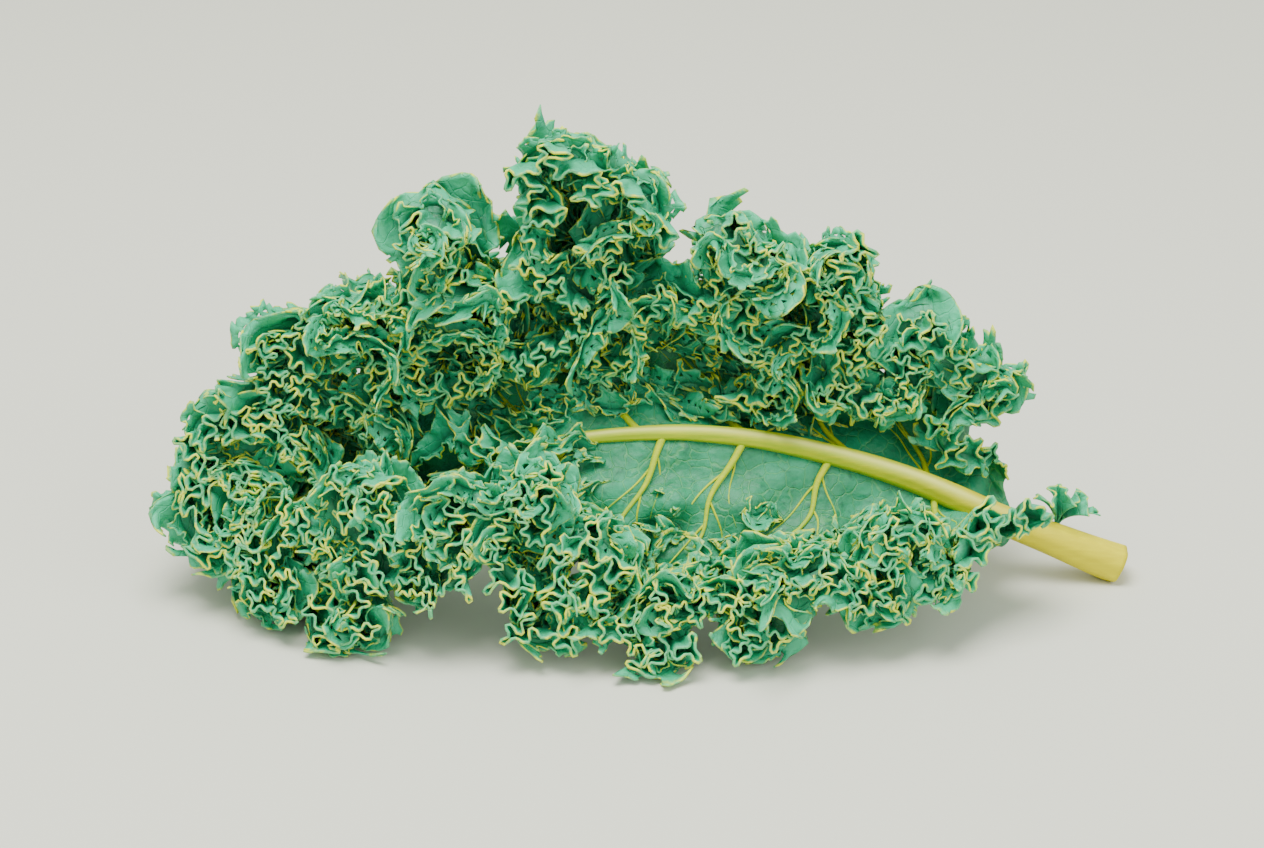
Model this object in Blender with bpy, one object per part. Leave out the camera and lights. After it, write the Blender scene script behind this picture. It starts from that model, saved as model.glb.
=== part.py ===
"""One leaf of curly kale, cut through its stalk and lying on its side, underside to the front.

Metres, +Z up. X runs from the leaf's tip to the cut end of the stalk, and -Y is the front.
Three bodies: the pale stalk with its midrib and side veins, the green blade as one waved
sheet, and a small leaflet that grows on the stalk.

The blade is a sheet over two numbers. s runs along the margin, from -1 at the stalk on the
near half, through 0 at the tip, to 1 at the stalk on the far half. t runs from 0 at the
midrib to 1 at the margin. A smooth cup comes first. Large folds and small ruffles are added
to it, and both grow towards the margin.
"""

import math

import bmesh
import bpy
import numpy as np
from mathutils import Matrix

MM = 0.001

# Blade
SHEET_HALF = 0.35 * MM          # half the thickness of the blade
LOWEST_MIDDLE = 0.30 * MM       # the table flattens the low spots: the sheet's middle stays this high
REST_SNAP = 0.2 * MM            # points lower than this lie on the table
GAP = 0.35 * MM                 # air between two bodies that touch
FULLNESS = 1.7                  # length of the end directions of the cup's curves, in chords
BLADE_START = 0.12              # where the blade begins, as a share of the rib's length
BLADE_END = 0.95
TIP_SHARE = 0.14                # the veins fan round the midrib's end where |s| is below this
BACK = (0.0, 0.5, -0.86)        # from the midrib towards the sheet behind it

# Midrib's centre line from the cut end: share of its length, x, y, z in mm
RIB_ROUTE = [
    (0.00, 127, -8, 4),
    (0.12, 97, -8, 17),
    (0.25, 66, -8, 32),
    (0.42, 22, -8, 44),
    (0.55, -8, -8, 45),
    (0.68, -38, -8, 40),
    (0.82, -66, -2, 24),
    (0.95, -88, 7, 2),
]
# Midrib's half thickness: share of its length, mm
RIB_RADIUS = [(0.00, 5.8), (0.12, 4.3), (0.25, 3.4), (0.42, 2.6), (0.60, 1.9), (0.80, 1.4), (0.95, 0.9)]

# Middle line of the frill: s, x, y, z in mm
MARGIN = [
    (-1.00, 92, -13, 12),
    (-0.97, 100, -30, 28),
    (-0.92, 76, -46, 26),
    (-0.80, 33, -57, 19),
    (-0.70, 5, -60, 13),
    (-0.60, -23, -56, 18),
    (-0.40, -57, -50, 33),
    (-0.20, -90, -44, 23),
    (0.00, -117, -24, 29),
    (0.20, -105, -14, 52),
    (0.30, -90, -12, 63),
    (0.40, -73, -10, 75),
    (0.60, -43, -8, 93),
    (0.70, -14, -6, 102),
    (0.80, 20, -8, 85),
    (0.92, 62, -8, 70),
    (0.97, 87, -6, 48),
    (1.00, 95, -4, 28),
]
# Way the sheet leaves the midrib: s, x, y, z of a direction
LEAVING = [
    (-1.00, 0.0, -0.8, -0.6),
    (-0.80, -0.4, -0.7, -0.6),
    (-0.40, -0.5, -0.7, -0.7),
    (-0.15, -0.8, -0.5, -0.2),
    (0.00, -1.0, 0.3, 0.1),
    (0.15, -0.8, 0.6, 0.3),
    (0.40, -0.5, 0.85, 0.15),
    (0.80, -0.5, 0.85, 0.15),
    (1.00, 0.0, 0.8, 0.4),
]
# Way the sheet ends at the margin, curled over to the front
ENDING = [
    (-1.00, 0.4, -0.9, 0.1),
    (-0.80, 0.0, -0.9, 0.3),
    (-0.40, 0.0, -0.9, 0.4),
    (-0.15, 0.0, -0.9, 0.3),
    (0.00, 0.0, -0.9, 0.2),
    (0.20, 0.0, -0.9, 0.1),
    (0.50, 0.0, -0.9, 0.0),
    (0.85, 0.0, -0.9, 0.0),
    (1.00, 0.2, -0.9, 0.1),
]

# Large folds: s of each crest and hollow, then how far it stands out from the cup in mm
FOLDS = [
    (-1.000, 1), (-0.980, 4), (-0.955, -6), (-0.930, 4), (-0.895, -9), (-0.855, 4), (-0.815, -9),
    (-0.765, 6), (-0.715, -10), (-0.660, 8), (-0.600, -16), (-0.530, 10), (-0.460, -24), (-0.380, 15),
    (-0.310, -22), (-0.240, 19), (-0.170, -14), (-0.110, 14), (-0.050, -11), (0.010, 13), (0.070, -11),
    (0.130, 14), (0.190, -16), (0.250, 16), (0.320, -24), (0.380, 17), (0.450, -28), (0.530, 18),
    (0.600, -31), (0.675, 22), (0.745, -32), (0.800, 18), (0.840, -28), (0.880, 17), (0.915, -22),
    (0.945, 12), (0.980, -8), (1.000, 1),
]
FOLD_OVERHANG = 0.18            # how far a fold leans over its neighbours, in shares of its width
FOLD_ONSET = 0.10               # the folds begin at this t
FOLD_LEVEL = 0.84               # and are full height from here on
POWER_OUT, POWER_IN = 1.3, 3.0  # growth of the crests and of the hollows

# Ruffles on the folds: width along the sheet, greatest turn in radians, onset, growth, seed
RUFFLE_WIDTH = 28 * MM
RUFFLE_TURN = 1.15
RUFFLE_ONSET = 0.30
RUFFLE_GROWTH = 1.3
RUFFLE_SEED = 11
RELIEF = 0.8                    # how much a steep ruffle shortens its reach
END_FADE = 0.012                # share of the margin at each end where the ruffles fade out

# Mesh rows of the blade: t, and how many of the margin's columns lie between two of its own
ROWS = [(0.05, 4), (0.16, 4), (0.30, 4), (0.46, 4), (0.60, 2), (0.72, 2), (0.83, 1), (0.92, 1), (1.00, 1)]
COLUMNS = 512
FINE = 12288                    # steps along the margin when the ruffles are added up

# Stalk
RIB_END = 0.765                 # the midrib thins out here, as a share of its route
RIB_RINGS = 40
RIB_SIDES = 14
GROOVE_DEPTH = 0.18             # channel along the stalk's back, in shares of its half thickness
GROOVE_WIDTH = 0.5              # radians
CUT_SLANT = 0.25                # how far the cut end leans, in shares of the half thickness

# Side veins: s where each leaves the midrib, and the t where it ends
VEINS = [
    (-0.900, 0.46), (-0.780, 0.46), (-0.690, 0.46), (-0.600, 0.46), (-0.480, 0.30), (-0.360, 0.30),
    (0.870, 0.30), (0.800, 0.30), (0.700, 0.30), (0.560, 0.30), (0.450, 0.30), (0.330, 0.30),
]
VEIN_START, VEIN_TIP = 1.0 * MM, 0.45 * MM
VEIN_SIDES = 6

# Small leaflet on the stalk's far side
LEAFLET_SHARE = 0.075           # where it grows, as a share of the rib's length
LEAFLET_DIRECTION = (0.45, 0.35, 0.80)
LEAFLET_SIDEWAYS = (0.85, 0.20, -0.50)
LEAFLET_LENGTH = 11.0 * MM
LEAFLET_START = 3.5 * MM
LEAFLET_SPREAD = 1.15           # radians to each side
LEAFLET_WAVES = 3
LEAFLET_RUFFLE = 1.4 * MM

STALK_COLOUR = (0.66, 0.55, 0.08, 1.0)
BLADE_COLOUR = (0.075, 0.225, 0.120, 1.0)
LEAFLET_COLOUR = (0.085, 0.250, 0.120, 1.0)


# Curves through keys

def keyed(keys, x):
    """Values at x on a smooth cubic that passes through every key. Each key is x, then its values."""
    keys = np.array(keys, float)
    places, values = keys[:, 0], keys[:, 1:]
    slopes = np.gradient(values, places, axis=0)
    x = np.clip(x, places[0], places[-1])
    i = np.clip(np.searchsorted(places, x, side="right") - 1, 0, len(places) - 2)
    width = (places[i + 1] - places[i])[..., None]
    f = (x - places[i])[..., None] / width
    found = (
        (2 * f**3 - 3 * f**2 + 1) * values[i]
        + (3 * f**2 - 2 * f**3) * values[i + 1]
        + (f**3 - 2 * f**2 + f) * slopes[i] * width
        + (f**3 - f**2) * slopes[i + 1] * width
    )
    return found[..., 0] if values.shape[1] == 1 else found


def unit(vectors):
    return vectors / np.linalg.norm(vectors, axis=-1, keepdims=True)


def noise(x, count, seed):
    """Smooth random curve from about -1 to 1 over x from 0 to 1, with this many random knots."""
    knots = np.random.default_rng(seed).uniform(-1, 1, count + 4)
    place = np.clip(x, 0, 1) * count
    i = np.minimum(place.astype(int), count - 1)
    f = place - i
    a, b, c, d = knots[i], knots[i + 1], knots[i + 2], knots[i + 3]
    return b + 0.5 * f * (c - a + f * (2 * a - 5 * b + 4 * c - d + f * (3 * (b - c) + d - a)))


def running_mean(values, count):
    """Mean over this many neighbours along the last axis, with the ends held."""
    count = max(3, int(count) | 1)
    pad = count // 2
    ends = np.repeat(values[..., :1], pad, -1), np.repeat(values[..., -1:], pad, -1)
    padded = np.concatenate([ends[0], values, ends[1]], -1)
    start = np.zeros(values.shape[:-1] + (1,), values.dtype)
    total = np.concatenate([start, np.cumsum(padded, -1)], -1)
    return (total[..., count:] - total[..., :-count]) / count


# The cup: the leaf without its folds and ruffles

def rib_share(s):
    """Share of the rib's length where the sheet of this s leaves the midrib."""
    along = np.clip((1 - np.abs(s)) / (1 - TIP_SHARE), 0, 1)
    return BLADE_START + (BLADE_END - BLADE_START) * along


def cup(s, t):
    """Cubic curve from behind the midrib to the frill's middle line, starting along LEAVING
    and ending along ENDING."""
    share = rib_share(s)
    heading = unit(keyed(RIB_ROUTE, share + 0.01) - keyed(RIB_ROUTE, share - 0.01))
    behind = np.array(BACK) - (heading @ np.array(BACK))[..., None] * heading
    room = (keyed(RIB_RADIUS, share) * MM + 2 * GAP + SHEET_HALF)[..., None]
    root = keyed(RIB_ROUTE, share) * MM + room * unit(behind)
    edge = keyed(MARGIN, s) * MM
    size = FULLNESS * np.linalg.norm(edge - root, axis=-1, keepdims=True)
    t = t[..., None]
    return (
        (2 * t**3 - 3 * t**2 + 1) * root
        + (3 * t**2 - 2 * t**3) * edge
        + (t**3 - 2 * t**2 + t) * size * unit(keyed(LEAVING, s))
        + (t**3 - t**2) * size * unit(keyed(ENDING, s))
    )


def cup_slope(s, t, step=0.001):
    """The cup's normal on the underside, and how fast it moves with t."""
    t = np.maximum(t, 0.05)
    along = cup(np.clip(s + step, -1, 1), t) - cup(np.clip(s - step, -1, 1), t)
    across = cup(s, t + step) - cup(s, t - step)
    return unit(np.cross(along, across)), np.linalg.norm(across, axis=-1) / (2 * step)


def margin_lengths():
    """s, and the length of the frill's middle line up to each s."""
    s = np.linspace(-1, 1, 4001)
    line = cup(s, np.ones_like(s))
    steps = np.linalg.norm(np.diff(line, axis=0), axis=1)
    return s, np.concatenate([[0], np.cumsum(steps)])


# Folds and ruffles

def fold_curve(s_list, lengths):
    """The row of large folds at full height, seen end on, in even steps along itself.

    Returns the straight place along the margin, the lean over the neighbours and the height.
    Between a crest and a hollow the height goes down half a cosine, and the lean is one sine.
    """
    folds = np.array(FOLDS, float)
    height = folds[:, 1] * MM
    place = np.interp(folds[:, 0], s_list, lengths)
    q = np.linspace(0, len(folds) - 1, FINE + 1)
    i = np.minimum(q.astype(int), len(folds) - 2)
    f = q - i
    width = place[i + 1] - place[i]
    straight = place[i] + width * f
    lean = width * FOLD_OVERHANG * np.sin(2 * np.pi * f)
    rise = height[i] + (height[i + 1] - height[i]) * (1 - np.cos(np.pi * f)) / 2
    run = np.concatenate([[0], np.cumsum(np.hypot(np.diff(straight + lean), np.diff(rise)))])
    even = np.linspace(0, run[-1], FINE + 1)
    return [np.interp(even, run, values) for values in (straight, lean, rise)] + [run[-1]]


def growth(t, onset, power):
    return np.clip((t - onset) / (1 - onset), 0, 1.2) ** power


def fold_growth(t, power):
    """Grows as a power of t, and eases into 1 at FOLD_LEVEL."""
    x = np.clip((t - FOLD_ONSET) / (FOLD_LEVEL - FOLD_ONSET), 0, 1.5)
    ease = np.clip((x - 0.88) / 0.24, 0, 1)
    ease = ease**2 * (3 - 2 * ease)
    return x**power * (1 - ease) + ease


def bessel(angle):
    """Mean of cos(angle * sin) over a turn: how far a meander gets for its length."""
    q = angle * angle / 4
    return 1 - q + q**2 / 4 - q**3 / 36 + q**4 / 576


def waved_rows(t, straight, lean, rise, run):
    """Place along the margin and height of each row of t, as complex numbers: folds, ruffles.

    A ruffle turns the fold's curve from side to side by up to RUFFLE_TURN, as a river's
    meander does, so it folds over itself where it has grown.
    """
    crest = np.clip((rise / (8 * MM) + 1) / 2, 0, 1)
    crest = (crest**2 * (3 - 2 * crest))[None]
    grown = fold_growth(t, POWER_OUT)[:, None] * crest + fold_growth(t, POWER_IN)[:, None] * (1 - crest)
    folded = straight[None] + grown * lean[None] + 1j * grown * rise[None]
    u = np.linspace(0, 1, FINE + 1)
    count = round(run / RUFFLE_WIDTH)
    phase = 2 * np.pi * (count * u + 0.25 * noise(u, count // 2, RUFFLE_SEED))
    turn = growth(t, RUFFLE_ONSET, RUFFLE_GROWTH)[:, None] * RUFFLE_TURN
    turn = turn * (1 + 0.2 * noise(u, count // 2, RUFFLE_SEED + 50))[None]
    factor = np.exp(1j * turn * np.sin(phase)[None]) / bessel(turn)
    factor = (factor[:, 1:] + factor[:, :-1]) / 2
    steps = np.cumsum(np.diff(folded, axis=1) * factor, axis=1)
    waved = folded[:, :1] + np.concatenate([np.zeros_like(steps[:, :1]), steps], 1)
    ruffle = waved - folded
    ruffle = ruffle - running_mean(running_mean(ruffle, FINE / count), FINE / count)
    fade = np.clip(np.minimum(u, 1 - u) / END_FADE, 0, 1)
    return folded, ruffle * (fade**2 * (3 - 2 * fade))[None]


def blade_points():
    """Middle of the blade's thickness at every row of ROWS and every column."""
    t = np.array([row[0] for row in ROWS])
    s_list, lengths = margin_lengths()
    curve = fold_curve(s_list, lengths)
    folded, ruffle = waved_rows(t, *curve)
    pick = np.round(np.linspace(0, FINE, COLUMNS + 1)).astype(int)
    folded, ruffle = folded[:, pick], ruffle[:, pick]
    s = np.interp(np.clip((folded + ruffle).real, 0, lengths[-1]), lengths, s_list)
    rows = np.broadcast_to(t[:, None], s.shape)
    # An inner row is shorter than the margin, so its ruffles are lower
    sample = np.linspace(-1, 1, 401)
    paces = [
        running_mean(np.linalg.norm(np.gradient(cup(sample, np.full_like(sample, x)), axis=0), axis=1), 15)
        for x in (*t, 1.0)
    ]
    low = np.array([np.interp(s[r], sample, paces[r] / paces[-1]) for r in range(len(t))])
    height = ruffle.imag * np.clip(low, 0, 1.15)
    # A steep ruffle reaches less far out, as the sheet keeps its length
    pace = cup_slope(s, rows)[1]
    climb = np.diff(ruffle.imag, axis=0) / (pace[1:] * np.diff(t)[:, None])
    steps = np.diff(t)[:, None] * np.sqrt(np.maximum(1 - RELIEF * climb**2, 0.15))
    reach = np.concatenate([rows[:1], rows[:1] + np.cumsum(steps, axis=0)])
    reach = np.minimum(reach * (t / reach.mean(axis=1))[:, None], 1.12)
    normal = cup_slope(s, reach)[0]
    outward = -cup_slope(s, np.ones_like(s))[0]
    points = cup(s, reach) - height[..., None] * normal + folded.imag[..., None] * outward
    points[..., 2] = np.maximum(points[..., 2], LOWEST_MIDDLE)
    return points, s


# Meshes

def sheet_triangles(strides, columns):
    """Numbers and triangles of a grid whose inner rows skip columns. Faces look to the underside."""
    first = [0]
    for stride in strides:
        first.append(first[-1] + columns // stride + 1)
    triangles = []
    for r in range(len(strides) - 1):
        inner, outer = strides[r], strides[r + 1]
        for c in range(0, columns, inner):
            a = first[r] + c // inner
            p = first[r + 1] + c // outer
            if inner == outer:
                corners = [(a, a + 1, p + 1), (a, p + 1, p)] if (c // inner) % 2 else [(a, a + 1, p), (a + 1, p + 1, p)]
            else:
                corners = [(a, a + 1, p + 1), (a, p + 1, p), (a + 1, p + 2, p + 1)]
            triangles += corners
    return first, triangles


def behind_rib(s_row):
    """Triangles of the strip behind the midrib, between the two halves of the innermost row."""
    near, far = 0, len(s_row) - 1
    triangles = []
    while near < far:
        if far - near == 1:
            break
        if -s_row[near + 1] > s_row[far - 1] or far - 1 == near:
            triangles.append((near + 1, near, far))
            near += 1
        else:
            triangles.append((near, far, far - 1))
            far -= 1
    return triangles


def vertex_normals(points, triangles):
    corners = points[triangles]
    faces = np.cross(corners[:, 1] - corners[:, 0], corners[:, 2] - corners[:, 0])
    total = np.zeros_like(points)
    for k in range(3):
        np.add.at(total, triangles[:, k], faces)
    return unit(total)


def thickened(points, triangles, half):
    """Closed sheet: both faces split into triangles alike, and a wall along the open edge."""
    normals = vertex_normals(points, triangles)
    count = len(points)
    sides = {(a, b) for tri in triangles.tolist() for a, b in zip(tri, tri[1:] + tri[:1])}
    rim = [(a, b) for a, b in sides if (b, a) not in sides]
    walls = [(b, a, a + count) for a, b in rim] + [(b, a + count, b + count) for a, b in rim]
    both = np.concatenate([points + normals * half, points - normals * half])
    faces = triangles.tolist() + (triangles[:, ::-1] + count).tolist() + walls
    return both, faces, normals


def add_object(name, points, faces, colour, roughness):
    """Object whose lowest points are flattened by the table at z = 0."""
    points[:, 2] = np.where(points[:, 2] < REST_SNAP, 0, points[:, 2])
    mesh = bpy.data.meshes.new(name)
    mesh.from_pydata([tuple(p) for p in points], [], [tuple(f) for f in faces])
    mesh.update()
    obj = bpy.data.objects.new(name, mesh)
    bpy.context.scene.collection.objects.link(obj)
    finish(obj, colour, roughness)
    return obj


def finish(obj, colour, roughness):
    material = bpy.data.materials.new(obj.name)
    material.use_nodes = True
    shader = material.node_tree.nodes["Principled BSDF"]
    shader.inputs["Base Color"].default_value = colour
    shader.inputs["Roughness"].default_value = roughness
    shader.inputs["Metallic"].default_value = 0.0
    obj.data.materials.clear()
    obj.data.materials.append(material)
    obj.data.polygons.foreach_set("use_smooth", [True] * len(obj.data.polygons))


def tube(path, radii, sides, groove=0.0, slant=0.0):
    """Closed tube along a path. The groove runs along the side that looks to BACK."""
    path = np.asarray(path, float)
    along = unit(np.gradient(path, axis=0))
    back = np.array(BACK)
    side = unit(back - (along @ back)[:, None] * along)
    other = np.cross(along, side)
    angle = np.linspace(0, 2 * np.pi, sides, endpoint=False)
    from_back = np.minimum(angle, 2 * np.pi - angle)
    section = 1 - groove * np.exp(-((from_back / GROOVE_WIDTH) ** 2))
    ring = np.cos(angle)[:, None] * side[:, None] + np.sin(angle)[:, None] * other[:, None]
    points = path[:, None] + np.asarray(radii)[:, None, None] * section[:, None] * ring
    points[0] += slant * radii[0] * np.cos(angle)[:, None] * along[0]
    points[..., 2] = np.maximum(points[..., 2], 0)
    count = len(path)
    faces = []
    for i in range(count - 1):
        for k in range(sides):
            a, b = i * sides + k, i * sides + (k + 1) % sides
            faces.append((a, b, b + sides, a + sides))
    faces.append(tuple(reversed(range(sides))))
    faces.append(tuple(range((count - 1) * sides, count * sides)))
    return points.reshape(-1, 3), faces


def solid(name, points, faces):
    mesh = bpy.data.meshes.new(name)
    mesh.from_pydata([tuple(p) for p in points], [], faces)
    shape = bmesh.new()
    shape.from_mesh(mesh)
    bmesh.ops.triangulate(shape, faces=shape.faces[:])
    bmesh.ops.recalc_face_normals(shape, faces=shape.faces[:])
    shape.to_mesh(mesh)
    shape.free()
    obj = bpy.data.objects.new(name, mesh)
    bpy.context.scene.collection.objects.link(obj)
    return obj


def joined(base, others):
    """One body from the base and the others, by Boolean unions. The others are removed."""
    for other in others:
        union = base.modifiers.new("union", "BOOLEAN")
        union.operation = "UNION"
        union.solver = "EXACT"
        union.object = other
    graph = bpy.context.evaluated_depsgraph_get()
    mesh = bpy.data.meshes.new_from_object(base.evaluated_get(graph))
    base.modifiers.clear()
    base.data = mesh
    for other in others:
        bpy.data.objects.remove(other, do_unlink=True)
    return base


# The three bodies

def make_blade():
    points, s = blade_points()
    strides = [row[1] for row in ROWS]
    kept = [points[r, ::stride] for r, stride in enumerate(strides)]
    first, triangles = sheet_triangles(strides, COLUMNS)
    triangles += behind_rib(s[0, ::strides[0]])
    middle = np.concatenate(kept)
    both, faces, normals = thickened(middle, np.array(triangles), SHEET_HALF)
    add_object("blade", both, faces, BLADE_COLOUR, 0.55)
    return middle, normals, first, s


def vein_path(s_root, t_end, middle, normals, first, s):
    """Vein along one column of the blade's own points, lifted clear of its underside."""
    stride = ROWS[0][1]
    column = int(np.argmin(np.abs(s[0, ::stride] - s_root))) * stride
    places = [i for i, (t, _) in enumerate(ROWS) if t <= t_end + 0.001]
    radii = np.linspace(VEIN_START, VEIN_TIP, len(places) + 1)
    path = [keyed(RIB_ROUTE, rib_share(np.array(s[0, column]))) * MM]
    for i in places:
        n = first[i] + column // ROWS[i][1]
        path.append(middle[n] + normals[n] * (SHEET_HALF + GAP + radii[i + 1]))
    return path, radii


def make_stalk(middle, normals, first, s):
    share = np.linspace(0, RIB_END, RIB_RINGS)
    route, radii = keyed(RIB_ROUTE, share) * MM, keyed(RIB_RADIUS, share) * MM
    points, faces = tube(route, radii, RIB_SIDES, GROOVE_DEPTH, CUT_SLANT)
    stalk = solid("stalk", points, faces)
    veins = []
    for s_root, t_end in VEINS:
        path, thick = vein_path(s_root, t_end, middle, normals, first, s)
        veins.append(solid("vein", *tube(path, thick, VEIN_SIDES)))
    joined(stalk, veins)
    finish(stalk, STALK_COLOUR, 0.45)


def make_leaflet():
    """Fan of a leaf: straight rays from its root, waved more and more towards its edge."""
    rows, columns = 5, 28
    r, c = np.meshgrid(np.linspace(0, 1, rows), np.linspace(-1, 1, columns + 1), indexing="ij")
    angle = c * LEAFLET_SPREAD * (0.5 + 0.5 * r)
    ahead, aside = unit(np.array(LEAFLET_DIRECTION)), np.array(LEAFLET_SIDEWAYS)
    aside = unit(aside - (aside @ ahead) * ahead)
    normal = np.cross(aside, ahead)
    wave = np.sin(np.pi * LEAFLET_WAVES * c + 0.6)
    length = LEAFLET_START + (LEAFLET_LENGTH * (1 - 0.12 * np.cos(2 * np.pi * LEAFLET_WAVES * c)) - LEAFLET_START) * r
    share = np.array(LEAFLET_SHARE)
    clear = keyed(RIB_RADIUS, share) * MM + 2 * GAP + SHEET_HALF
    centre = keyed(RIB_ROUTE, share) * MM + ahead * (clear - LEAFLET_START * math.cos(LEAFLET_SPREAD / 2))
    points = (
        centre
        + (length * np.cos(angle))[..., None] * ahead
        + (length * np.sin(angle))[..., None] * aside
        + (LEAFLET_RUFFLE * wave * r**2)[..., None] * normal
    ).reshape(-1, 3)
    triangles = np.array(sheet_triangles([1] * rows, columns)[1])
    both, faces, _ = thickened(points, triangles, SHEET_HALF)
    add_object("stalk_leaflet", both, faces, LEAFLET_COLOUR, 0.55)


def centre_on_origin():
    """Puts the middle of the leaf's base at the origin. Its points already stand on z = 0."""
    corners = []
    for obj in bpy.data.objects:
        points = np.empty(len(obj.data.vertices) * 3)
        obj.data.vertices.foreach_get("co", points)
        corners += [points.reshape(-1, 3).min(axis=0), points.reshape(-1, 3).max(axis=0)]
    middle = (np.min(corners, axis=0) + np.max(corners, axis=0)) / 2
    for obj in bpy.data.objects:
        obj.data.transform(Matrix.Translation((-middle[0], -middle[1], 0)))
    print("moved by", np.round(-middle[:2] / MM, 3), "mm")


def main():
    for obj in list(bpy.data.objects):
        bpy.data.objects.remove(obj, do_unlink=True)
    made = make_blade()
    make_stalk(*made)
    make_leaflet()
    centre_on_origin()


main()
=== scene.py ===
import math
import bpy
import numpy as np
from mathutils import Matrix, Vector


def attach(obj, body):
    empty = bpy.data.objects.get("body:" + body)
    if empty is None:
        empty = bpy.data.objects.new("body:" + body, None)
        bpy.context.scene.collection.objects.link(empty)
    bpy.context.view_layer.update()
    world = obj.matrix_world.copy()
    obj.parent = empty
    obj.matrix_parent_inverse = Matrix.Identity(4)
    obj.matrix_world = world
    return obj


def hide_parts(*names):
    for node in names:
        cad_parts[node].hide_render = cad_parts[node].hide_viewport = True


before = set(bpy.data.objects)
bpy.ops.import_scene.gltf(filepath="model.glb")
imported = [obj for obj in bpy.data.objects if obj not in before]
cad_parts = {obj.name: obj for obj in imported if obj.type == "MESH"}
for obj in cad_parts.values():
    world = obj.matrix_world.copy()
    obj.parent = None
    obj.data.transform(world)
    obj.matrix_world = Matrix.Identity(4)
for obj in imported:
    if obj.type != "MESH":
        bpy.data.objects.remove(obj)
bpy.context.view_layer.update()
mm = 0.001

# The leaf is worked out in the part's own numbers, then moved so that its base is centred
leafPlace = np.array([-1.131, 20.893, 0.0]) * mm


# Camera, floor and light

studio = {
    "target": (-0.00883, 0.02089, 0.0438),
    "distance": 0.9,
    "elevation": 28.0,              # degrees above the horizon
    "lens": 93.6,
    "floorX": (-4, 4), "floorY": (-4, 6),
    "floorColour": (0.64, 0.65, 0.56, 1.0),
    "floorRoughness": 0.9, "floorSpecular": 0.2,
    "skyColour": (0.93, 0.95, 0.90, 1.0),
    "skyStrength": 1.02,
    "lampTarget": (0.0, 0.0, 0.03),
    # name, place, size in m, power in W, colour
    "lamps": [
        ("keyLamp", (-0.12, -0.10, 1.05), 0.6, 20.0, (1.0, 0.99, 0.95)),
        ("fillLamp", (0.8, -0.6, 0.7), 0.9, 5.0, (0.95, 0.98, 1.0)),
    ],
}


def makeCamera(look):
    # place = target + distance * (0, -cos e, sin e): in front, towards -Y, and looking down on the leaf
    lens = bpy.data.cameras.new("camera")
    lens.lens = look["lens"]
    camera = bpy.data.objects.new("camera", lens)
    bpy.context.scene.collection.objects.link(camera)
    e = math.radians(look["elevation"])
    back = Vector((0.0, -math.cos(e), math.sin(e)))
    camera.location = Vector(look["target"]) + back * look["distance"]
    camera.rotation_euler = (-back).to_track_quat("-Z", "Y").to_euler()
    bpy.context.scene.camera = camera


def makeLamp(name, place, size, power, colour):
    # a square lamp that faces the lamps' one target
    light = bpy.data.lights.new(name, "AREA")
    light.energy, light.size, light.color = power, size, colour
    lamp = bpy.data.objects.new(name, light)
    lamp.location = place
    aim = Vector(studio["lampTarget"]) - Vector(place)
    lamp.rotation_euler = aim.to_track_quat("-Z", "Y").to_euler()
    bpy.context.scene.collection.objects.link(lamp)


def makeFloor(look):
    # one flat rectangle at z = 0, the corners of the floorX and floorY ranges
    shop = Shop("studioFloor", look["floorRoughness"], look["floorSpecular"])
    shop.shader.inputs["Base Color"].default_value = look["floorColour"]
    (left, right), (front, back) = look["floorX"], look["floorY"]
    mesh = bpy.data.meshes.new("floor")
    corners = [(left, front, 0), (right, front, 0), (right, back, 0), (left, back, 0)]
    mesh.from_pydata(corners, [], [(0, 1, 2, 3)])
    mesh.materials.append(shop.material)
    floor = bpy.data.objects.new("floor", mesh)
    bpy.context.scene.collection.objects.link(floor)


def makeSky(look):
    world = bpy.data.worlds.new("studioSky")
    world.use_nodes = True
    background = world.node_tree.nodes["Background"]
    background.inputs["Color"].default_value = look["skyColour"]
    background.inputs["Strength"].default_value = look["skyStrength"]
    bpy.context.scene.world = world


# Shader maths: a Wire is one output socket, and expressions on it add Math nodes

class Wire:
    def __init__(self, shop, socket):
        self.shop, self.socket = shop, socket

    def __add__(self, other):
        return self.shop.sum("ADD", self, other)

    def __radd__(self, other):
        return self.shop.sum("ADD", other, self)

    def __sub__(self, other):
        return self.shop.sum("SUBTRACT", self, other)

    def __rsub__(self, other):
        return self.shop.sum("SUBTRACT", other, self)

    def __mul__(self, other):
        return self.shop.sum("MULTIPLY", self, other)

    def __rmul__(self, other):
        return self.shop.sum("MULTIPLY", other, self)


# A Shop is one material: its Principled shader, and the nodes that feed it

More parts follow.
